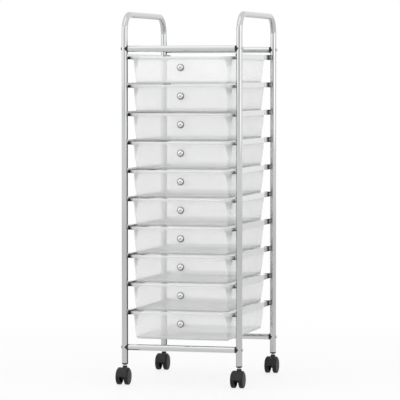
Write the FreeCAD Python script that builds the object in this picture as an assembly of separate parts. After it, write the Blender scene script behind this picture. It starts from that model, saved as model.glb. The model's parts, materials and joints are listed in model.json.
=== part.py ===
import FreeCAD, Part
import math
import os

from FreeCAD import Vector

# Rolling storage cart: two bent tube hoops, four crossbars, ten drawers on channel rails, four casters.
# +Z is up from the floor, the front is -Y, and +X is the right side seen from the front.
# The origin lies on the floor, midway between the four posts. Lengths are in millimetres.

# Hoops: each is one tube bent to an inverted U, with a post at the front and one at the rear
post_spacing_x = 304.0
post_spacing_y = 366.0
tube_diameter = 16.0
tube_wall = 1.0
hoop_bend_radius = 45.0
handle_rise = 96.0

# Crossbars of the same tube between the hoops, with coped ends on thin saddle plugs
crossbar_stem_gap = 3.0
crossbar_rail_gap = 5.8
saddle_thickness = 1.2
plug_length = 16.0
plug_clearance = 0.05

# Bolts through the posts into the saddle plugs
bolt_diameter = 5.0
bolt_length = 30.0
bolt_head_diameter = 9.0
bolt_head_height = 2.8
bolt_key_width = 3.0
bolt_key_depth = 1.5
bolt_clearance = 0.1

# Drawer rails: channels that open inwards, welded to the inner side of the posts
drawer_count = 10
rail_height = 13.2
rail_lip = 10.0
rail_sheet = 1.0
rail_overhang = 6.0

# Drawer trays: a rim with a down-turned edge runs in the rails, with a deeper apron at the front
rim_side_play = 0.8
rim_stop_play = 0.5
rim_lift = 0.3
rim_height = 6.2
rim_sheet = 1.8
rim_front_radius = 24.0
rim_rear_radius = 4.0
rim_front_width = 4.0
rim_rear_width = 9.0
rim_setback = 2.0
apron_height = 8.8
apron_rail_gap = 1.5
tray_rail_gap = 1.7
drawer_height = 70.6
drawer_gap = 2.3
lowest_drawer_gap = 13.8
drawer_wall = 1.8
drawer_floor = 2.0
side_draft = 9.5
front_draft = 4.0
rear_draft = 10.0
front_corner_cut = 17.0
rear_corner_cut = 12.0
floor_corner_cut = 5.0
corner_fade_share = 0.57
floor_edge_radius = 6.0

# Drawer knobs, turned from the front wall outwards, and their screws
knob_drop = 28.1
knob_diameter = 18.6
knob_edge_height = 2.0
knob_dome_height = 6.0
knob_base_diameter = 12.0
knob_base_thickness = 1.5
knob_neck_diameter = 8.5
knob_neck_length = 4.5
knob_flare_length = 3.0
screw_diameter = 4.0
screw_reach = 9.0
screw_head_diameter = 8.0
screw_head_height = 2.2
screw_slot_width = 1.0
screw_slot_depth = 1.0
screw_clearance = 0.1

# Caster sockets in the posts, with the stems and grip rings that they hold
socket_flange_height = 4.3
socket_foot_diameter = 10.0
socket_depth = 28.0
socket_clearance = 0.05
stem_diameter = 8.0
stem_depth = 30.0
stem_show = 2.8
stem_clearance = 0.05
journal_diameter = 5.6
journal_length = 20.0
ring_height = 3.0
ring_thickness = 1.0
ring_groove_depth = 0.5
ring_slit = 2.0
ring_drop = 8.0

# Caster wheels and axles
wheel_diameter = 42.0
wheel_width = 11.0
wheel_gap = 10.5
wheel_dome = 1.2
wheel_edge_radius = 2.5
wheel_hub_diameter = 14.0
wheel_rim_thickness = 4.0
wheel_recess_depth = 7.0
caster_trail = 13.0
axle_diameter = 5.0
axle_reach = 8.0
axle_end_play = 0.4
running_clearance = 0.05

# Caster hoods: a fender over both wheels, a web between them and a boss on the stem
hood_width = 27.0
hood_sheet = 1.8
hood_wheel_clearance = 0.8
hood_web_clearance = 0.6
hood_skirt_rise = 1.0
hood_edge_radius = 1.2
axle_boss_diameter = 15.0
stem_boss_diameter = 12.5
stem_boss_rise = 3.0
swivel_play = 0.3
journal_end_play = 0.5

# How far cutting shapes run past what they cut
overrun = 1.0

# Where the middle of a quarter arc lies, as a share of its radius from its centre and from its corner
arc_middle_share = math.sqrt(0.5)
arc_corner_share = 1 - arc_middle_share

# How much of an inset a slanting corner loses from its length along each side
cut_inset_share = 2 - math.sqrt(2)

# Worked out from the sizes above, across the cart
post_x = post_spacing_x / 2
post_y = post_spacing_y / 2
tube_radius = tube_diameter / 2
tube_bore_radius = tube_radius - tube_wall
saddle_radius = tube_radius + saddle_thickness
rail_web_x = post_x - tube_radius
lip_edge_x = rail_web_x - rail_lip
rail_length = post_spacing_y + 2 * rail_overhang
rim_half_width = rail_web_x - rail_sheet - rim_side_play
rim_front = -post_y - tube_radius + rim_setback
rim_rear = rail_length / 2 - rail_sheet - rim_stop_play
tray_half_width = lip_edge_x - tray_rail_gap
tray_front = rim_front + rim_front_width
tray_rear = rim_rear - rim_rear_width
front_lean = math.atan(front_draft / drawer_height)
wall_along_screw = drawer_wall * math.cos(front_lean)
knob_flare_end = knob_base_thickness + knob_neck_length + knob_flare_length
knob_projection = knob_flare_end + knob_edge_height + knob_dome_height

# Worked out from the sizes above, from the floor up
wheel_radius = wheel_diameter / 2
axle_radius = axle_diameter / 2
axle_centre = Vector(0, -caster_trail, wheel_radius)
fender_bore_radius = wheel_radius + hood_wheel_clearance
fender_radius = fender_bore_radius + hood_sheet
hood_top = wheel_radius + fender_radius + stem_boss_rise
stem_shoulder = hood_top + swivel_play
socket_foot = stem_shoulder + stem_show
post_foot = socket_foot + socket_flange_height
stem_top = post_foot + stem_depth
ring_top = post_foot + socket_depth - ring_drop
bottom_crossbar_height = stem_top + crossbar_stem_gap + tube_radius
lowest_floor_height = bottom_crossbar_height + tube_radius + lowest_drawer_gap
drawer_pitch = drawer_height + drawer_gap
top_rim_height = lowest_floor_height + drawer_height + (drawer_count - 1) * drawer_pitch
top_rail_height = top_rim_height - rim_height - rim_lift - rail_sheet + rail_height
top_crossbar_height = top_rail_height + crossbar_rail_gap + tube_radius
hoop_top = top_crossbar_height + handle_rise

ORIGIN = Vector(0, 0, 0)
X_AXIS = Vector(1, 0, 0)
Y_AXIS = Vector(0, 1, 0)
Z_AXIS = Vector(0, 0, 1)


def bar(radius, start, end):
    """Round bar between two points."""
    run = end - start
    return Part.makeCylinder(radius, run.Length, start, run)


def block(low, high):
    """Box between two opposite corners."""
    size = high - low
    return Part.makeBox(size.x, size.y, size.z, low)


def turned(edges, base, axis):
    """Solid turned once round an axis from a closed profile."""
    return Part.Face(Part.Wire(edges)).revolve(base, axis, 360)


def chain(*points):
    """Straight edges from point to point."""
    return [Part.makeLine(start, end) for start, end in zip(points, points[1:])]


def arc(start, middle, end):
    """Arc edge through three points."""
    return Part.Arc(start, middle, end).toShape()


def post_places():
    """Names and plan positions of the four posts."""
    sides = (("left", -post_x), ("right", post_x))
    ends = (("front", -post_y), ("rear", post_y))
    return [(end + "_" + side, x, y) for end, y in ends for side, x in sides]


def crossbar_places():
    """Names, heights and depths of the four crossbars."""
    levels = (("top", top_crossbar_height), ("bottom", bottom_crossbar_height))
    ends = (("front", -post_y), ("rear", post_y))
    return [(end + "_" + level + "_crossbar", y, z) for level, z in levels for end, y in ends]


def at_posts(solid):
    """Copies of a solid made round the origin's upright line, one on each post."""
    return [solid.translated(Vector(x, y, 0)) for name, x, y in post_places()]


def in_rows(solid):
    """Copies of a solid made in the top row, one in each row."""
    return [solid.translated(Vector(0, 0, -row * drawer_pitch)) for row in range(drawer_count)]


def hoop_path(x, foot):
    """Centre line of a hoop: up the front post, over the handle bow and down the rear post."""
    crown = hoop_top - tube_radius
    spring = crown - hoop_bend_radius
    bend_y = post_y - hoop_bend_radius
    slant = hoop_bend_radius * arc_middle_share
    front_spring = Vector(x, -post_y, spring)
    front_crown = Vector(x, -bend_y, crown)
    rear_crown = Vector(x, bend_y, crown)
    rear_spring = Vector(x, post_y, spring)
    return Part.Wire([
        Part.makeLine(Vector(x, -post_y, foot), front_spring),
        arc(front_spring, Vector(x, -bend_y - slant, spring + slant), front_crown),
        Part.makeLine(front_crown, rear_crown),
        arc(rear_crown, Vector(x, bend_y + slant, spring + slant), rear_spring),
        Part.makeLine(rear_spring, Vector(x, post_y, foot)),
    ])


def hoop_core(x, radius, foot):
    """Solid round section swept along a hoop."""
    ring = Part.Wire(Part.makeCircle(radius, Vector(x, -post_y, foot), Z_AXIS))
    return hoop_path(x, foot).makePipeShell([ring], True, False)


def hoop(x):
    """Bent tube with a bolt hole through each post at each crossbar."""
    tube = hoop_core(x, tube_radius, post_foot).cut(hoop_core(x, tube_bore_radius, post_foot))
    reach = Vector(tube_radius + overrun, 0, 0)
    for name, y, z in crossbar_places():
        centre = Vector(x, y, z)
        tube = tube.cut(bar(bolt_diameter / 2 + bolt_clearance, centre - reach, centre + reach))
    return tube


def post_core(x, y, radius, height):
    """Upright round bar on a post's axis at a crossbar's height, for coping what meets the post."""
    reach = Vector(0, 0, tube_radius + overrun)
    centre = Vector(x, y, height)
    return bar(radius, centre - reach, centre + reach)


def crossbar(y, z):
    """Tube between two posts, coped at both ends for the saddle plugs."""
    left = Vector(-post_x, y, z)
    right = Vector(post_x, y, z)
    tube = bar(tube_radius, left, right).cut(bar(tube_bore_radius, left, right))
    for x in (-post_x, post_x):
        tube = tube.cut(post_core(x, y, saddle_radius + plug_clearance, z))
    return tube


def saddle_plug(side, y, z):
    """Plug in a crossbar's end: a thin saddle on the post, a spigot in the tube and a bolt bore."""
    axis_point = Vector(side * post_x, y, z)
    inwards = Vector(-side, 0, 0)
    spigot_end = axis_point + inwards * (saddle_radius + plug_length)
    saddle = bar(tube_radius, axis_point, spigot_end)
    saddle = saddle.common(post_core(axis_point.x, y, saddle_radius, z))
    spigot = bar(tube_bore_radius - plug_clearance, axis_point, spigot_end)
    plug = saddle.fuse(spigot).cut(post_core(axis_point.x, y, tube_radius + plug_clearance, z))
    bore = bar(bolt_diameter / 2 + bolt_clearance, axis_point, spigot_end + inwards * overrun)
    return plug.cut(bore).removeSplitter()


def hex_bar(width_across, start, end):
    """Six-sided bar between two points on a line along X."""
    corner_radius = width_across / math.sqrt(3)
    corners = []
    for step in range(7):
        turn = math.radians(60 * step)
        corners.append(start + Vector(0, corner_radius * math.cos(turn), corner_radius * math.sin(turn)))
    return Part.Face(Part.makePolygon(corners)).extrude(end - start)


def crossbar_bolt(side, y, z):
    """Dome-headed bolt with a hexagon key socket, seated on the outside of a post."""
    outwards = Vector(side, 0, 0)
    seat = Vector(side * (post_x + tube_radius), y, z)
    crown = seat + outwards * bolt_head_height
    head_radius = bolt_head_diameter / 2
    ball_radius = (head_radius ** 2 + bolt_head_height ** 2) / (2 * bolt_head_height)
    ball = Part.makeSphere(ball_radius, crown - outwards * ball_radius)
    head = ball.common(bar(head_radius + overrun, seat, crown + outwards * overrun))
    shank = bar(bolt_diameter / 2, seat, seat - outwards * bolt_length)
    key = hex_bar(bolt_key_width, crown - outwards * bolt_key_depth, crown + outwards * overrun)
    return head.fuse(shank).cut(key).removeSplitter()


def drawer_rail():
    """Right-hand channel: an upright web, an upper and a lower lip, and a plate that stops the drawer."""
    foot = top_rail_height - rail_height
    front = -rail_length / 2
    rear = rail_length / 2
    outline = [
        Vector(lip_edge_x, front, foot),
        Vector(rail_web_x, front, foot),
        Vector(rail_web_x, front, top_rail_height),
        Vector(lip_edge_x, front, top_rail_height),
        Vector(lip_edge_x, front, top_rail_height - rail_sheet),
        Vector(rail_web_x - rail_sheet, front, top_rail_height - rail_sheet),
        Vector(rail_web_x - rail_sheet, front, foot + rail_sheet),
        Vector(lip_edge_x, front, foot + rail_sheet),
        Vector(lip_edge_x, front, foot),
    ]
    channel = Part.Face(Part.makePolygon(outline)).extrude(Vector(0, rail_length, 0))
    stop = block(Vector(lip_edge_x, rear - rail_sheet, foot), Vector(rail_web_x, rear, top_rail_height))
    return channel.fuse(stop).removeSplitter()


def rounded_outline(half_width, front, rear, front_radius, rear_radius, height):
    """Level rectangle with rounded corners, as a closed wire."""
    front_slant = front_radius * arc_corner_share
    rear_slant = rear_radius * arc_corner_share
    left, right = -half_width, half_width
    corners = (
        (Vector(right - front_radius, front, height),
         Vector(right - front_slant, front + front_slant, height),
         Vector(right, front + front_radius, height)),
        (Vector(right, rear - rear_radius, height),
         Vector(right - rear_slant, rear - rear_slant, height),
         Vector(right - rear_radius, rear, height)),
        (Vector(left + rear_radius, rear, height),
         Vector(left + rear_slant, rear - rear_slant, height),
         Vector(left, rear - rear_radius, height)),
        (Vector(left, front + front_radius, height),
         Vector(left + front_slant, front + front_slant, height),
         Vector(left + front_radius, front, height)),
    )
    edges = []
    for corner, following in zip(corners, corners[1:] + corners[:1]):
        edges.append(arc(*corner))
        edges.append(Part.makeLine(corner[2], following[0]))
    return Part.Wire(edges)


def cut_corner_outline(half_width, front, rear, front_cut, rear_cut, height):
    """Level rectangle with slanting corners, as a closed wire."""
    left, right = -half_width, half_width
    corners = [
        Vector(right - front_cut, front, height),
        Vector(right, front + front_cut, height),
        Vector(right, rear - rear_cut, height),
        Vector(right - rear_cut, rear, height),
        Vector(left + rear_cut, rear, height),
        Vector(left, rear - rear_cut, height),
        Vector(left, front + front_cut, height),
        Vector(left + front_cut, front, height),
    ]
    return Part.makePolygon(corners + corners[:1])


def tray_outline(depth, inset):
    """Outline of the tray's wall at a depth below its rim, moved inwards by an inset."""
    share = depth / drawer_height
    fade = min(max(share / corner_fade_share, 0), 1)
    front_cut = front_corner_cut + (floor_corner_cut - front_corner_cut) * fade
    rear_cut = rear_corner_cut + (floor_corner_cut - rear_corner_cut) * fade
    return cut_corner_outline(
        tray_half_width - side_draft * share - inset,
        tray_front + front_draft * share + inset,
        tray_rear - rear_draft * share - inset,
        front_cut - inset * cut_inset_share, rear_cut - inset * cut_inset_share,
        top_rim_height - depth)


def tray_form(depths, inset):
    """Solid through the tray's outlines at several depths, with a rounded edge round its floor."""
    form = Part.makeLoft([tray_outline(depth, inset) for depth in depths], True, True)
    lowest = form.BoundBox.ZMin
    floor_edges = [edge for edge in form.Edges if edge.BoundBox.ZMax < lowest + overrun]
    return form.makeFillet(floor_edge_radius - inset, floor_edges)


def rim_block(inset, drop, rise):
    """Upright block on the rim's outline, moved inwards by an inset, from a drop below its top."""
    outline = rounded_outline(
        rim_half_width - inset, rim_front + inset, rim_rear - inset,
        rim_front_radius - inset, rim_rear_radius - inset, top_rim_height - drop)
    return Part.Face(outline).extrude(Vector(0, 0, drop + rise))


def front_apron():
    """Deeper edge of the rim across the front, between the rails."""
    band = rim_block(0, apron_height, 0).cut(rim_block(rim_sheet, apron_height + overrun, overrun))
    half_width = lip_edge_x - apron_rail_gap
    front_zone = block(Vector(-half_width, rim_front - overrun, top_rim_height - apron_height - overrun),
                       Vector(half_width, rim_front + rim_front_radius, top_rim_height + overrun))
    return band.common(front_zone)


def drawer_tray():
    """Tray with drafted walls, slanting corners that narrow towards the floor, and a down-turned rim."""
    fade_depth = drawer_height * corner_fade_share
    shell = tray_form((0, fade_depth, drawer_height), 0)
    hollow = tray_form((-overrun, 0, fade_depth, drawer_height - drawer_floor), drawer_wall)
    rim = rim_block(0, rim_height, 0).cut(rim_block(rim_sheet, rim_height + overrun, -rim_sheet))
    tray = shell.multiFuse([rim, front_apron()]).cut(hollow)
    reach = Vector(0, drawer_wall + overrun, 0)
    hole = on_front_wall(bar(screw_diameter / 2 + screw_clearance, -reach, reach))
    return tray.cut(hole).removeSplitter()


def on_front_wall(solid):
    """Solid made round the Y axis, moved so that the origin is the knob's seat on the leaning front wall."""
    seat = Vector(0, tray_front + front_draft * knob_drop / drawer_height, top_rim_height - knob_drop)
    return solid.rotated(ORIGIN, X_AXIS, math.degrees(front_lean)).translated(seat)


def drawer_knob():
    """Turned knob with a base, a neck, a flared head and a domed face."""
    base_radius = knob_base_diameter / 2
    neck_radius = knob_neck_diameter / 2
    head_radius = knob_diameter / 2
    neck_end = knob_base_thickness + knob_neck_length
    dome_start = knob_flare_end + knob_edge_height
    ball_radius = (head_radius ** 2 + knob_dome_height ** 2) / (2 * knob_dome_height)
    half_turn = math.asin(head_radius / ball_radius) / 2
    dome_middle = Vector(ball_radius * math.sin(half_turn),
                         ball_radius * (1 - math.cos(half_turn)) - knob_projection, 0)
    edges = chain(
        ORIGIN, Vector(base_radius, 0, 0), Vector(base_radius, -knob_base_thickness, 0),
        Vector(neck_radius, -knob_base_thickness, 0), Vector(neck_radius, -neck_end, 0),
        Vector(head_radius, -knob_flare_end, 0), Vector(head_radius, -dome_start, 0),
    )
    crown = Vector(0, -knob_projection, 0)
    edges.append(arc(Vector(head_radius, -dome_start, 0), dome_middle, crown))
    edges += chain(crown, ORIGIN)
    bore_end = Vector(0, -screw_reach - screw_clearance, 0)
    bore = bar(screw_diameter / 2 + screw_clearance, Vector(0, overrun, 0), bore_end)
    return on_front_wall(turned(edges, ORIGIN, Y_AXIS).cut(bore))


def knob_screw():
    """Slotted screw from inside the tray, through its front wall and into the knob."""
    seat = Vector(0, wall_along_screw, 0)
    crown = seat + Vector(0, screw_head_height, 0)
    shank = bar(screw_diameter / 2, Vector(0, -screw_reach, 0), seat)
    slot_half = Vector(screw_head_diameter / 2 + overrun, 0, screw_slot_width / 2)
    slot_foot = crown - slot_half - Vector(0, screw_slot_depth, 0)
    slot = block(slot_foot, crown + slot_half + Vector(0, overrun, 0))
    screw = bar(screw_head_diameter / 2, seat, crown).fuse(shank).cut(slot)
    return on_front_wall(screw.removeSplitter())


def caster_socket():
    """Insert in a post's foot: a rounded flange under the tube, a spigot in it and a bore for the stem."""
    foot_radius = socket_foot_diameter / 2
    spigot_radius = tube_bore_radius - socket_clearance
    bore_radius = stem_diameter / 2 + stem_clearance
    undercut_radius = bore_radius + ring_thickness - ring_groove_depth
    undercut_top = ring_top + stem_clearance
    undercut_foot = ring_top - ring_height - stem_clearance
    spigot_top = post_foot + socket_depth
    bulge_middle = Vector(tube_radius - (tube_radius - foot_radius) * arc_corner_share, 0,
                          socket_foot + socket_flange_height * arc_corner_share)
    flange_edge = Vector(tube_radius, 0, post_foot)
    foot_edge = Vector(foot_radius, 0, socket_foot)
    bore_foot = Vector(bore_radius, 0, socket_foot)
    edges = chain(bore_foot, foot_edge)
    edges.append(arc(foot_edge, bulge_middle, flange_edge))
    edges += chain(
        flange_edge, Vector(spigot_radius, 0, post_foot), Vector(spigot_radius, 0, spigot_top),
        Vector(bore_radius, 0, spigot_top), Vector(bore_radius, 0, undercut_top),
        Vector(undercut_radius, 0, undercut_top), Vector(undercut_radius, 0, undercut_foot),
        Vector(bore_radius, 0, undercut_foot), bore_foot,
    )
    return turned(edges, ORIGIN, Z_AXIS)


def caster_stem():
    """Steel pin: the grooved part that the socket holds, and the journal that the hood turns on."""
    stem_radius = stem_diameter / 2
    journal_radius = journal_diameter / 2
    groove_radius = stem_radius - ring_groove_depth
    groove_foot = ring_top - ring_height
    journal_foot = stem_shoulder - journal_length
    edges = chain(
        Vector(0, 0, journal_foot), Vector(journal_radius, 0, journal_foot),
        Vector(journal_radius, 0, stem_shoulder), Vector(stem_radius, 0, stem_shoulder),
        Vector(stem_radius, 0, groove_foot), Vector(groove_radius, 0, groove_foot),
        Vector(groove_radius, 0, ring_top), Vector(stem_radius, 0, ring_top),
        Vector(stem_radius, 0, stem_top), Vector(0, 0, stem_top), Vector(0, 0, journal_foot),
    )
    return turned(edges, ORIGIN, Z_AXIS)


def stem_grip_ring():
    """Split spring ring in the groove of a stem."""
    groove_radius = stem_diameter / 2 - ring_groove_depth
    outer_radius = groove_radius + ring_thickness
    foot = Vector(0, 0, ring_top - ring_height + stem_clearance)
    top = Vector(0, 0, ring_top - stem_clearance)
    ring = bar(outer_radius, foot, top).cut(bar(groove_radius + stem_clearance, foot, top))
    slit = block(foot - Vector(ring_slit / 2, 0, 0), top + Vector(ring_slit / 2, outer_radius + overrun, 0))
    return ring.cut(slit)


def caster_axle():
    """Plain pin through the hood's web that carries both wheels."""
    reach = Vector(wheel_gap / 2 + axle_reach, 0, 0)
    return bar(axle_radius, axle_centre - reach, axle_centre + reach)


def caster_wheel(side):
    """Wheel with a rounded tread, a domed outer face, and a hub and rim that are open inwards."""
    inner_face = axle_centre + Vector(side * wheel_gap / 2, 0, 0)
    hub_radius = wheel_hub_diameter / 2
    rim_radius = wheel_radius - wheel_rim_thickness
    bore_radius = axle_radius + running_clearance
    bore_depth = axle_reach + axle_end_play
    shoulder = wheel_radius - wheel_edge_radius
    bevel = wheel_edge_radius * arc_corner_share

    def at(depth, radius):
        return inner_face + Vector(side * depth, 0, radius)

    dome_radius = (shoulder ** 2 + wheel_dome ** 2) / (2 * wheel_dome)
    half_turn = math.asin(shoulder / dome_radius) / 2
    dome_middle = at(wheel_width + wheel_dome - dome_radius * (1 - math.cos(half_turn)),
                     dome_radius * math.sin(half_turn))
    edges = chain(
        at(bore_depth, 0), at(bore_depth, bore_radius), at(0, bore_radius), at(0, hub_radius),
        at(wheel_recess_depth, hub_radius), at(wheel_recess_depth, rim_radius),
        at(0, rim_radius), at(0, shoulder),
    )
    edges.append(arc(at(0, shoulder), at(bevel, wheel_radius - bevel), at(wheel_edge_radius, wheel_radius)))
    edges += chain(at(wheel_edge_radius, wheel_radius), at(wheel_width - wheel_edge_radius, wheel_radius))
    edges.append(arc(at(wheel_width - wheel_edge_radius, wheel_radius),
                     at(wheel_width - bevel, wheel_radius - bevel), at(wheel_width, shoulder)))
    edges.append(arc(at(wheel_width, shoulder), dome_middle, at(wheel_width + wheel_dome, 0)))
    edges += chain(at(wheel_width + wheel_dome, 0), at(bore_depth, 0))
    return turned(edges, inner_face, X_AXIS)


def rounded_drum(radius, start, end, edge_radius):
    """Round bar with both of its rims rounded."""
    drum = bar(radius, start, end)
    rims = [edge for edge in drum.Edges if edge.isClosed() and isinstance(edge.Curve, Part.Circle)]
    return drum.makeFillet(edge_radius, rims)


def caster_hood():
    """Fender over both wheels, web between them with the axle bore, and boss with the stem bore."""
    fender_half = Vector(hood_width / 2, 0, 0)
    web_half = Vector(wheel_gap / 2 - hood_web_clearance, 0, 0)
    past_fender = fender_half + Vector(overrun, 0, 0)
    wheel_room = bar(fender_bore_radius, axle_centre - past_fender, axle_centre + past_fender)
    fender_start = axle_centre - fender_half
    fender_end = axle_centre + fender_half
    fender = rounded_drum(fender_radius, fender_start, fender_end, hood_edge_radius).cut(wheel_room)
    web = bar(fender_bore_radius + hood_sheet / 2, axle_centre - web_half, axle_centre + web_half)
    low_corner = axle_centre - past_fender - Vector(0, fender_radius + overrun, fender_radius + overrun)
    high_corner = axle_centre + past_fender + Vector(0, fender_radius + overrun, hood_skirt_rise)
    cover = fender.fuse(web).cut(block(low_corner, high_corner))
    axle_boss = bar(axle_boss_diameter / 2, axle_centre - web_half, axle_centre + web_half)
    stem_boss = bar(stem_boss_diameter / 2, Vector(0, 0, wheel_radius), Vector(0, 0, hood_top))
    hood = cover.multiFuse([axle_boss, stem_boss.cut(wheel_room)])
    hood = hood.cut(bar(axle_radius + plug_clearance, axle_centre - past_fender, axle_centre + past_fender))
    journal_foot = Vector(0, 0, stem_shoulder - journal_length - journal_end_play)
    bore_top = Vector(0, 0, hood_top + overrun)
    hood = hood.cut(bar(journal_diameter / 2 + running_clearance, journal_foot, bore_top))
    return hood.removeSplitter()


def cart():
    """Every node of the cart, by name."""
    nodes = {
        "left_hoop": [hoop(-post_x)],
        "right_hoop": [hoop(post_x)],
    }
    for name, y, z in crossbar_places():
        nodes[name] = [crossbar(y, z)]
    rail = drawer_rail()
    nodes["left_drawer_rails"] = in_rows(rail.mirror(ORIGIN, X_AXIS))
    nodes["right_drawer_rails"] = in_rows(rail)
    joints = [(side, y, z) for name, y, z in crossbar_places() for side in (-1, 1)]
    nodes["crossbar_end_plugs"] = [saddle_plug(*joint) for joint in joints]
    nodes["crossbar_bolts"] = [crossbar_bolt(*joint) for joint in joints]
    nodes["caster_sockets"] = at_posts(caster_socket())
    nodes["caster_stems"] = at_posts(caster_stem())
    nodes["stem_grip_rings"] = at_posts(stem_grip_ring())
    caster_pieces = {
        "_caster_hood": caster_hood(),
        "_caster_axle": caster_axle(),
        "_caster_left_wheel": caster_wheel(-1),
        "_caster_right_wheel": caster_wheel(1),
    }
    for piece, solid in caster_pieces.items():
        for (post, x, y), copy in zip(post_places(), at_posts(solid)):
            nodes[post + piece] = [copy]
    drawer_pieces = {
        "_tray": drawer_tray(),
        "_knob": drawer_knob(),
        "_knob_screw": knob_screw(),
    }
    for piece, solid in drawer_pieces.items():
        for row, copy in enumerate(in_rows(solid), start=1):
            nodes["drawer_" + str(row) + piece] = [copy]
    return nodes


os.makedirs("parts", exist_ok=True)
for node, solids in cart().items():
    shape = solids[0] if len(solids) == 1 else Part.makeCompound(solids)
    shape.exportStep("parts/" + node + ".step")
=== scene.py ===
import json
import math

import bpy
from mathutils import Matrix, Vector


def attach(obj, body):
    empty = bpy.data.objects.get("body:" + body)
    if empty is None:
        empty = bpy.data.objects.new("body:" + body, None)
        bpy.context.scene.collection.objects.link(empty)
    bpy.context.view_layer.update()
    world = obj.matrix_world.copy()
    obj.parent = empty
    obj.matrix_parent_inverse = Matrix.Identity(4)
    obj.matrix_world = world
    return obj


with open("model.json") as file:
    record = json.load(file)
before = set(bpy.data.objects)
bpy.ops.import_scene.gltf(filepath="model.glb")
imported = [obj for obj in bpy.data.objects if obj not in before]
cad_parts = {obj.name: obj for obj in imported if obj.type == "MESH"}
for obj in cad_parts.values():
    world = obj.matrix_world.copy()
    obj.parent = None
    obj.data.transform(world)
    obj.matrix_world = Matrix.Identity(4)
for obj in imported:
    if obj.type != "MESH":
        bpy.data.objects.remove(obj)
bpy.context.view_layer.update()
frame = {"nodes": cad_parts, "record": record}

# Sizes of the cart that the looks follow, in metres
drawer_rows = 10
row_pitch = 0.0729
post_x = 0.152
post_y = 0.183
tube_radius = 0.008
rail_middle = 0.8436
rail_height = 0.0132
top_rim = 0.8445
knob_drop = 0.0281
rim_overrun = 0.001  # depths in a drawer row are counted from this far above its rim

# Bounds over which a tone of the plating or the plastic comes in, in metres
rim_edge_reach = (0.0040, 0.0050)
# plastic: band under the rim, a line of painted shadow
rim_step_reach = (0.0062, 0.0076)
# plastic: painted shade along the floor edge
floor_edge_shade_reach = (0.062, 0.068)
# plastic front corner facets: painted shade, fading out downwards
corner_reach = (0.2985, 0.2995)
corner_fade_reach = (0.012, 0.042)
# posts: painted dark reflection along the side that faces the drawers, up to the given height
post_inner_reach = (0.1448, 0.1462)
post_painted_dark_top = (0.85, 0.90)
# crossbar ends: painted shade and reflection where they meet the posts
crossbar_end_reach = (0.1408, 0.1420)
# rails: painted reflection of the rear posts, just before them
post_reflection_start_reach = (0.145, 0.151)
post_reflection_end_reach = (0.170, 0.175)
# rails: painted shade inside the lower part of the channel
rail_inside_shade_reach = (0.14335, 0.14375)
rail_lower_reach = (0.0135, 0.0160)
# knob: painted reflection, a dark ring round its edge and a dark dot at its middle
knob_ring_reach = (0.0062, 0.0072)
knob_dot_reach = (0.0012, 0.0021)

# Colours: one, or the two ends of an uneven tone
hoop_tones = ((0.55, 0.555, 0.56), (0.62, 0.625, 0.63))
# painted dark reflection on the posts' side that faces the drawers
post_painted_dark_tone = (0.07, 0.07, 0.071)
crossbar_tones = ((0.62, 0.625, 0.63), (0.69, 0.695, 0.70))
# painted shade and reflection at the crossbar ends
crossbar_end_shade_tone = (0.04, 0.04, 0.041)
rail_tones = ((0.68, 0.685, 0.69), (0.75, 0.755, 0.76))
# painted shade and painted reflection on the rails
rail_painted_dark_tone = (0.03, 0.03, 0.031)
knob_tones = ((0.70, 0.705, 0.71), (0.76, 0.765, 0.77))
# painted reflection on the knob
knob_painted_reflection_tone = (0.30, 0.302, 0.305)
plastic_tones = ((0.965, 0.967, 0.97), (0.985, 0.986, 0.988))
# painted shade on the plastic's floor edge, under its rim and on its front corners
plastic_painted_shade_tone = (0.74, 0.745, 0.75)
hood_tones = ((0.022, 0.022, 0.023), (0.036, 0.036, 0.037))
wheel_tones = ((0.010, 0.010, 0.011), (0.018, 0.018, 0.019))
steel_tones = ((0.5, 0.505, 0.51), (0.64, 0.645, 0.65))
floor_tones = ((0.90, 0.90, 0.90), (0.92, 0.92, 0.92))

# Roughness of each finish, and what its marks add to that
plating_roughness = 0.035
smudge_roughness = 0.07
hairline_roughness = 0.03
# roughness where the plating is painted dark
painted_dark_roughness = 0.45
plastic_roughness = 0.32
cloud_roughness = 0.05
scuff_roughness = 0.02
hood_roughness = 0.42
wheel_roughness = 0.36
rub_roughness = 0.16
grain_roughness = 0.06
steel_roughness = 0.2
stain_roughness = 0.14
turning_roughness = 0.05
floor_roughness = 0.55

# Cloudy patterns: clouds per metre, levels of detail
smudge_pattern = (26, 4)
pit_pattern = (1500, 2)
tube_pattern = (9, 3)
rail_pattern = (40, 3)
knob_pattern = (60, 3)
cloud_pattern = (14, 3)
frost_pattern = (700, 2)
grain_pattern = (1300, 3)
rub_pattern = (60, 5)
stain_pattern = (90, 4)
floor_pattern = (3, 2)

# Fine lines: stretch along each axis, lines per metre
hairline_pattern = ((1, 1, 0.04), 900)
scuff_pattern = ((1, 0.05, 1), 220)
turning_pattern = ((1, 1, 0.1), 1200)
line_detail = 2

# Relief of the surfaces: depth in metres, strength
plating_relief = (0.00002, 0.15)
frost_relief = (0.00002, 0.04)
grain_relief = (0.00008, 0.35)
turning_relief = (0.00003, 0.3)

# Frosted plastic: share of light that it holds back, and what its edges add to that
thin_cover = 0.25
cloud_cover = 0.05
floor_edge_cover = 0.24
rim_cover = 0.5
step_cover = 0.2
corner_cover = 0.3
# share of the painted shadow tone in the line under the rim
rim_shadow_share = 0.5
plastic_clearness = 0.15
plastic_refraction = 1.46

# Specular level of black plastic and of the painted dark spots on the plating
black_plastic_gloss = 0.22
painted_dark_gloss = 0.1

# Colour sockets of a Mix node, by number because its other kinds have the same names
mix_first = 6
mix_second = 7
mix_result = 2

# Weld beads between the rails and the posts
bead_radius = 0.0011
bead_offset = 0.0042
bead_height_share = 0.62
bead_sides = 8
bead_rings = 5
bead_least = (0.82, 0.82, 0.82)
bead_most = (1.12, 1.12, 1.12)
bead_seed = 4

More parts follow.
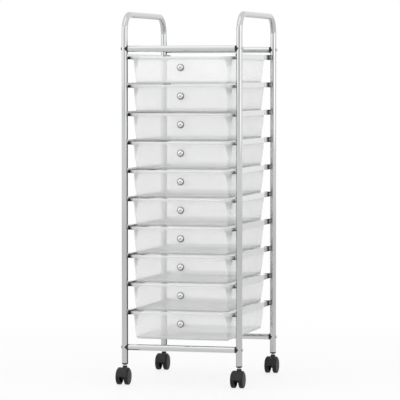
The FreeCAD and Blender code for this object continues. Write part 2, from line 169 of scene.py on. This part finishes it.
# Studio: camera as in the photograph, pale floor, soft lamps
image_width = 400
camera_place = Vector((1.8393, -6.7842, 0.79294))
camera_azimuth = math.radians(15.178)
camera_pitch = math.radians(2.637)
camera_focal_pixels = 2681.25
camera_sensor = 36.0
floor_radius = 30.0
floor_sides = 96
floor_drop = 0.0002
floor_glow_share = 0.8
floor_white_start = 0.5
floor_white_run = 1.6
floor_mirror_reach = (7.5, 10.5)
floor_mirror_dim = 0.17
ambient_strength = 1.0
overhead_reach = (0.3, 1.0)
overhead_dim = 0.2
camera_side_reach = (0.72, 0.97)
camera_side_dim_share = 0.11
camera_spot_reach = (0.975, 0.99)
camera_spot_dim_share = 0.12
white = (1.0, 1.0, 1.0, 1.0)
cart_middle = (0.0, 0.0, 0.5)
lamps = {  # place, width in metres, power in watts
    "ceiling_lamp": ((-0.4, -1.2, 3.2), 2.6, 8),
    "left_lamp": ((-2.6, -2.2, 1.6), 1.8, 8),
    "right_lamp": ((2.8, -1.2, 1.4), 1.8, 10),
}


class Field:
    """One output of a shader tree. Sums with numbers or with other fields add Math nodes."""

    def __init__(self, tree, socket=None):
        self.tree = tree
        self.socket = socket

    def node(self, kind, settings=(), sockets=(), output=0):
        """Any node: its settings first, then the values or links of its sockets."""
        made = self.tree.nodes.new(kind)
        for name, value in dict(settings).items():
            setattr(made, name, value)
        for name, value in dict(sockets).items():
            if isinstance(value, Field):
                self.tree.links.new(value.socket, made.inputs[name])
            else:
                made.inputs[name].default_value = value
        return Field(self.tree, made.outputs[output] if made.outputs else None)

    def math(self, operation, first, second=0.0):
        return self.node("ShaderNodeMath", {"operation": operation}, {0: first, 1: second})

    def __add__(self, other):
        return self.math("ADD", self, other)

    def __radd__(self, other):
        return self.math("ADD", other, self)

    def __sub__(self, other):
        return self.math("SUBTRACT", self, other)

    def __rsub__(self, other):
        return self.math("SUBTRACT", other, self)

    def __mul__(self, other):
        return self.math("MULTIPLY", self, other)

    def __rmul__(self, other):
        return self.math("MULTIPLY", other, self)

    def __abs__(self):
        return self.math("ABSOLUTE", self)

    def axis(self, letter):
        """One coordinate of a place."""
        return self.node("ShaderNodeSeparateXYZ", {}, {0: self}, letter)

    def rise(self, low, high):
        """Smooth step from 0 to 1 while this field goes from one value to another."""
        return self.node("ShaderNodeMapRange", {"interpolation_type": "SMOOTHSTEP"}, {
            "Value": self, "From Min": low, "From Max": high})


def speckle(place, scale, detail):
    """Cloudy pattern from 0 to 1; the scale is in clouds per metre."""
    return place.node("ShaderNodeTexNoise", {}, {"Vector": place, "Scale": scale, "Detail": detail}, "Fac")


def drawn_lines(place, stretch, scale):
    """Fine lines: a cloudy pattern drawn out along the axis whose stretch is below 1."""
    squeezed = place.node("ShaderNodeMapping", {}, {"Vector": place, "Scale": stretch})
    return speckle(squeezed, scale, line_detail)


def blend(amount, first, second):
    """Colour between two colours, each a plain one or a field."""
    ends = [end if isinstance(end, Field) else (*end, 1) for end in (first, second)]
    return amount.node("ShaderNodeMix", {"data_type": "RGBA"}, {
        "Factor": amount, mix_first: ends[0], mix_second: ends[1]}, mix_result)


def raised(height, depth, strength):
    """Surface direction over a height pattern; the depth is in metres."""
    return height.node("ShaderNodeBump", {}, {
        "Height": height, "Distance": depth, "Strength": strength}, "Normal")


def finish(name, recipe):
    """Material whose recipe gets the piece's own coordinates and gives its surface."""
    material = bpy.data.materials.new(name)
    material.use_nodes = True
    material.node_tree.nodes.clear()
    sheet = Field(material.node_tree)
    place = sheet.node("ShaderNodeTexCoord", {}, {}, "Object")
    sheet.node("ShaderNodeOutputMaterial", {}, {"Surface": recipe(place)})
    return material


def plated(place, colour, painted_dark_share=0.0):
    """Bright plating of a colour, with faint smudges and hairline scratches, and matte, non-metal where
    painted dark.
    """
    smudges = speckle(place, *smudge_pattern)
    hairlines = drawn_lines(place, *hairline_pattern)
    pits = speckle(place, *pit_pattern)
    marks = smudge_roughness * smudges + hairline_roughness * hairlines
    return place.node("ShaderNodeBsdfPrincipled", {}, {
        "Base Color": colour,
        "Metallic": 1 - painted_dark_share,
        "Roughness": plating_roughness + marks + painted_dark_roughness * painted_dark_share,
        "Specular IOR Level": painted_dark_gloss,
        "Normal": raised(pits + hairlines, *plating_relief),
    })


def chrome_hoop(place):
    """Plated tube of the hoops, with a painted dark reflection along the side of the posts that faces the
    drawers.
    """
    inner = 1 - abs(place.axis("X")).rise(*post_inner_reach)
    # painted dark reflection on the posts' side that faces the drawers, below the top
    painted_dark = inner * (1 - place.axis("Z").rise(*post_painted_dark_top))
    bright = blend(speckle(place, *tube_pattern), *hoop_tones)
    return plated(place, blend(painted_dark, bright, post_painted_dark_tone), painted_dark)


def chrome_crossbar(place):
    """Plated tube of the crossbars, with painted shade and reflection at the very ends where they meet the
    posts.
    """
    # painted shade and reflection at the ends where the crossbars meet the posts
    end = abs(place.axis("X")).rise(*crossbar_end_reach)
    bright = blend(speckle(place, *tube_pattern), *crossbar_tones)
    return plated(place, blend(end, bright, crossbar_end_shade_tone), end)


def row_depth(place, start):
    """Depth below a height of the first drawer row or the same height of a lower row, in metres."""
    rows_down = (start - place.axis("Z")) * (1 / row_pitch)
    return place.math("FRACT", rows_down) * row_pitch


def chrome_rail(place):
    """Plated channel, with painted shade at its lower inside and a painted reflection of the rear posts just
    before them.
    """
    # painted shade inside the lower part of the channel
    inside = 1 - abs(place.axis("X")).rise(*rail_inside_shade_reach)
    below = row_depth(place, rail_middle + rail_height).rise(*rail_lower_reach)
    along = place.axis("Y")
    # painted reflection of the rear posts
    post_reflection = along.rise(*post_reflection_start_reach) * (1 - along.rise(*post_reflection_end_reach))
    painted_dark = place.math("MAXIMUM", inside * below, post_reflection)
    bright = blend(speckle(place, *rail_pattern), *rail_tones)
    return plated(place, blend(painted_dark, bright, rail_painted_dark_tone), painted_dark)


def chrome_knob(place):
    """Plated knob with a painted reflection: a dark ring round its edge and a dark dot at its middle."""
    across = place.axis("X")
    fall = row_depth(place, top_rim) - knob_drop
    reach = place.math("SQRT", across * across + fall * fall)
    # painted reflection: dark ring round the edge and dark dot at the middle
    painted_reflection = reach.rise(*knob_ring_reach) + (1 - reach.rise(*knob_dot_reach))
    bright = blend(speckle(place, *knob_pattern), *knob_tones)
    return plated(place, blend(painted_reflection, bright, knob_painted_reflection_tone))


def frosted_plastic(place):
    """Translucent moulded plastic, finely frosted, more opaque at its rim, front corners and floor edge, with
    painted shade on its floor edge, in a line under its rim and on its front corners.
    """
    clouds = speckle(place, *cloud_pattern)
    scuffs = drawn_lines(place, *scuff_pattern)
    depth = row_depth(place, top_rim + rim_overrun)
    # painted shade along the floor edge, which is also more opaque
    floor_edge_shade = depth.rise(*floor_edge_shade_reach)
    below_rim = depth.rise(*rim_edge_reach)
    # line of painted shadow under the rim
    step = below_rim * (1 - depth.rise(*rim_step_reach))
    corner_place = abs(place.axis("X")) - place.axis("Y")
    # painted shade on the front corner facets
    corner = corner_place.rise(*corner_reach) * (1 - depth.rise(*corner_fade_reach))
    # all the painted shade in the plastic's base colour
    painted_shade = floor_edge_shade + rim_shadow_share * step + corner
    thin = thin_cover + cloud_cover * clouds
    level_edges = floor_edge_cover * floor_edge_shade + rim_cover * (1 - below_rim) + step_cover * step
    edges = level_edges + corner_cover * corner
    return place.node("ShaderNodeBsdfPrincipled", {}, {
        "Base Color": blend(painted_shade, blend(clouds, *plastic_tones), plastic_painted_shade_tone),
        "Roughness": plastic_roughness + cloud_roughness * clouds + scuff_roughness * scuffs,
        "Alpha": thin + edges,
        "Transmission Weight": plastic_clearness,
        "IOR": plastic_refraction,
        "Normal": raised(speckle(place, *frost_pattern), *frost_relief),
    })


def grained_plastic(tones, roughness):
    """Black moulded plastic with a fine grain and paler rubbed spots."""
    def recipe(place):
        grain = speckle(place, *grain_pattern)
        rubs = speckle(place, *rub_pattern)
        return place.node("ShaderNodeBsdfPrincipled", {}, {
            "Base Color": blend(rubs, *tones),
            "Roughness": roughness + rub_roughness * rubs + grain_roughness * grain,
            "Specular IOR Level": black_plastic_gloss,
            "Normal": raised(grain, *grain_relief),
        })
    return recipe


def bright_steel(place):
    """Zinc-bright steel with fine turning lines."""
    lines = drawn_lines(place, *turning_pattern)
    stains = speckle(place, *stain_pattern)
    return place.node("ShaderNodeBsdfPrincipled", {}, {
        "Base Color": blend(stains, *steel_tones),
        "Metallic": 1.0,
        "Roughness": steel_roughness + stain_roughness * stains + turning_roughness * lines,
        "Normal": raised(lines, *turning_relief),
    })


def seen_directly(sheet):
    """1 for rays from the camera, and for those that metal and clear plastic send on."""
    camera, glossy, through = (sheet.node("ShaderNodeLightPath", {}, {}, f"Is {kind} Ray")
                               for kind in ("Camera", "Glossy", "Transmission"))
    return sheet.math("MAXIMUM", camera, sheet.math("MAXIMUM", glossy, through))


def pale_floor(place):
    """White studio floor that keeps the cart's soft shadow, and looks a little darker in the chrome."""
    paint = place.node("ShaderNodeBsdfPrincipled", {}, {
        "Base Color": blend(speckle(place, *floor_pattern), *floor_tones),
        "Roughness": floor_roughness,
    })
    distance = place.node("ShaderNodeVectorMath", {"operation": "LENGTH"}, {0: place}, "Value")
    glossy = place.node("ShaderNodeLightPath", {}, {}, "Is Glossy Ray")
    near = 1 - distance.rise(*floor_mirror_reach)
    glow = place.node("ShaderNodeEmission", {}, {
        "Color": white, "Strength": 1 - floor_mirror_dim * glossy * near})
    away = distance.rise(floor_white_start, floor_white_start + floor_white_run)
    share = floor_glow_share + (1 - floor_glow_share) * away
    return place.node("ShaderNodeMixShader", {}, {0: seen_directly(place) * share, 1: paint, 2: glow})


slot_finishes = {
    "chrome_sheet": finish("chrome_rail_finish", chrome_rail),
    "chrome_knob": finish("chrome_knob_finish", chrome_knob),
    "bright_steel": finish("bright_steel_finish", bright_steel),
    "frosted_plastic": finish("frosted_plastic_finish", frosted_plastic),
    "black_plastic": finish("black_plastic_finish", grained_plastic(hood_tones, hood_roughness)),
    "black_wheel_plastic": finish("black_wheel_finish", grained_plastic(wheel_tones, wheel_roughness)),
}
hoop_finish = finish("chrome_hoop_finish", chrome_hoop)
crossbar_finish = finish("chrome_crossbar_finish", chrome_crossbar)
for subpart in frame["record"]["subparts"]:
    node_name, slot_name = subpart["node"], subpart["material_slot"]
    if slot_name == "chrome_tube":
        node_finish = crossbar_finish if node_name.endswith("_crossbar") else hoop_finish
    else:
        node_finish = slot_finishes[slot_name]
    node_mesh = frame["nodes"][node_name].data
    node_mesh.materials.clear()
    node_mesh.materials.append(node_finish)


class Tree:
    """Geometry tree with named inputs."""

    def __init__(self, name, inputs):
        self.tree = bpy.data.node_groups.new(name, "GeometryNodeTree")
        face = self.tree.interface
        self.identifiers = {}
        for label, kind in inputs.items():
            socket = face.new_socket(label, in_out="INPUT", socket_type=kind)
            self.identifiers[label] = socket.identifier
        face.new_socket("Mesh", in_out="OUTPUT", socket_type="NodeSocketGeometry")
        self.inputs = self.tree.nodes.new("NodeGroupInput").outputs

    def node(self, kind, settings=(), sockets=()):
        """Any node: its settings first, then the values or links of its sockets."""
        made = self.tree.nodes.new(kind)
        for name, value in dict(settings).items():
            setattr(made, name, value)
        for name, value in dict(sockets).items():
            if isinstance(value, bpy.types.NodeSocket):
                self.tree.links.new(value, made.inputs[name])
            else:
                made.inputs[name].default_value = value
        return made.outputs

    def end(self, instances, material):
        """Realized mesh with its material, as the tree's result."""
        real = self.node("GeometryNodeRealizeInstances", {}, {"Geometry": instances})
        painted = self.node("GeometryNodeSetMaterial", {}, {"Geometry": real[0], "Material": material})
        self.tree.links.new(painted[0], self.tree.nodes.new("NodeGroupOutput").inputs[0])

    def mesh(self, name, values):
        """Plain mesh object from the tree with the given input values."""
        holder = bpy.data.objects.new(name + "_holder", bpy.data.meshes.new(name + "_holder"))
        bpy.context.scene.collection.objects.link(holder)
        modifier = holder.modifiers.new("tree", "NODES")
        modifier.node_group = self.tree
        for label, value in values.items():
            modifier[self.identifiers[label]] = value
        depsgraph = bpy.context.evaluated_depsgraph_get()
        made = bpy.data.meshes.new_from_object(holder.evaluated_get(depsgraph), depsgraph=depsgraph)
        holder.modifiers.remove(modifier)
        bpy.data.objects.remove(holder)
        made.name = name
        piece = bpy.data.objects.new(name, made)
        bpy.context.scene.collection.objects.link(piece)
        return piece


def weld_bead_tree():
    """Beads of weld on both sides of the line where each rail touches each post."""
    tree = Tree("weld_beads", {
        "Rows": "NodeSocketInt", "Pitch": "NodeSocketVector", "Top": "NodeSocketVector",
        "Posts X": "NodeSocketFloat", "Posts Y": "NodeSocketFloat", "Bead spread": "NodeSocketFloat",
        "Bead": "NodeSocketVector", "Finish": "NodeSocketMaterial",
    })
    line = tree.node("GeometryNodeMeshLine", {"mode": "OFFSET"}, {
        "Count": tree.inputs["Rows"], "Start Location": tree.inputs["Top"], "Offset": tree.inputs["Pitch"]})
    ball = tree.node("GeometryNodeMeshUVSphere", {}, {
        "Segments": bead_sides, "Rings": bead_rings, "Radius": 1.0})
    wobble = tree.node("FunctionNodeRandomValue", {"data_type": "FLOAT_VECTOR"}, {
        0: bead_least, 1: bead_most, "Seed": bead_seed})
    size = tree.node("ShaderNodeVectorMath", {"operation": "MULTIPLY"}, {
        0: wobble[0], 1: tree.inputs["Bead"]})
    column = tree.node("GeometryNodeInstanceOnPoints", {}, {
        "Points": line[0], "Instance": ball[0], "Scale": size[0]})
    pair = tree.node("GeometryNodeMeshGrid", {}, {
        "Size X": 0.0, "Size Y": tree.inputs["Bead spread"], "Vertices X": 1, "Vertices Y": 2})
    both = tree.node("GeometryNodeInstanceOnPoints", {}, {"Points": pair[0], "Instance": column[0]})
    posts = tree.node("GeometryNodeMeshGrid", {}, {
        "Size X": tree.inputs["Posts X"], "Size Y": tree.inputs["Posts Y"], "Vertices X": 2, "Vertices Y": 2})
    everywhere = tree.node("GeometryNodeInstanceOnPoints", {}, {"Points": posts[0], "Instance": both[0]})
    tree.end(everywhere[0], tree.inputs["Finish"])
    return tree


rail_face = post_x - tube_radius
beads = weld_bead_tree().mesh("rail_weld_beads", {
    "Rows": drawer_rows,
    "Pitch": (0.0, 0.0, -row_pitch),
    "Top": (0.0, 0.0, rail_middle),
    "Posts X": 2 * rail_face,
    "Posts Y": 2 * post_y,
    "Bead spread": 2 * bead_offset,
    "Bead": (bead_radius, bead_radius, rail_height * bead_height_share / 2),
    "Finish": slot_finishes["bright_steel"],
})
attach(beads, "frame")


def floor_piece():
    """Round floor under the cart."""
    turns = [2 * math.pi * side / floor_sides for side in range(floor_sides)]
    ring = [(floor_radius * math.cos(turn), floor_radius * math.sin(turn), -floor_drop) for turn in turns]
    mesh = bpy.data.meshes.new("floor")
    mesh.from_pydata(ring, [], [tuple(range(floor_sides))])
    mesh.materials.append(finish("pale_floor_finish", pale_floor))
    piece = bpy.data.objects.new("floor", mesh)
    bpy.context.scene.collection.objects.link(piece)
    return piece


def soft_lamp(name, place, width, power):
    """Square lamp that looks at the middle of the cart."""
    data = bpy.data.lights.new(name, "AREA")
    data.shape = "SQUARE"
    data.size = width
    data.energy = power
    lamp = bpy.data.objects.new(name, data)
    lamp.location = place
    lamp.rotation_euler = (Vector(cart_middle) - Vector(place)).to_track_quat("-Z", "Y").to_euler()
    bpy.context.scene.collection.objects.link(lamp)


def studio_world():
    """White surroundings for what is seen directly, and ambient light that is dimmer overhead."""
    world = bpy.data.worlds.new("studio")
    world.use_nodes = True
    world.node_tree.nodes.clear()
    sheet = Field(world.node_tree)
    heading = sheet.node("ShaderNodeTexCoord", {}, {}, "Generated")
    to_camera = camera_place.normalized()
    facing = sheet.node("ShaderNodeVectorMath", {"operation": "DOT_PRODUCT"}, {
        0: heading, 1: to_camera}, "Value")
    side = camera_side_dim_share * facing.rise(*camera_side_reach)
    spot = camera_spot_dim_share * facing.rise(*camera_spot_reach)
    glossy = sheet.node("ShaderNodeLightPath", {}, {}, "Is Glossy Ray")
    overhead = overhead_dim * heading.axis("Z").rise(*overhead_reach)
    ambient = sheet.node("ShaderNodeBackground", {}, {
        "Color": white, "Strength": ambient_strength - overhead})
    backdrop = sheet.node("ShaderNodeBackground", {}, {
        "Color": white, "Strength": 1 - glossy * (side + spot)})
    surface = sheet.node("ShaderNodeMixShader", {}, {0: seen_directly(sheet), 1: ambient, 2: backdrop})
    sheet.node("ShaderNodeOutputWorld", {}, {"Surface": surface})
    bpy.context.scene.world = world


def photo_camera():
    """Camera at the photograph's place, angle and field of view."""
    data = bpy.data.cameras.new("photo_camera")
    data.sensor_width = camera_sensor
    data.lens = camera_focal_pixels * camera_sensor / image_width
    camera = bpy.data.objects.new("photo_camera", data)
    camera.location = camera_place
    camera.rotation_euler = (math.pi / 2 - camera_pitch, 0, camera_azimuth)
    bpy.context.scene.collection.objects.link(camera)
    bpy.context.scene.camera = camera


floor_piece()
studio_world()
for lamp_name, (lamp_place, lamp_width, lamp_power) in lamps.items():
    soft_lamp(lamp_name, lamp_place, lamp_width, lamp_power)
photo_camera()
bpy.context.scene.view_settings.view_transform = "Standard"
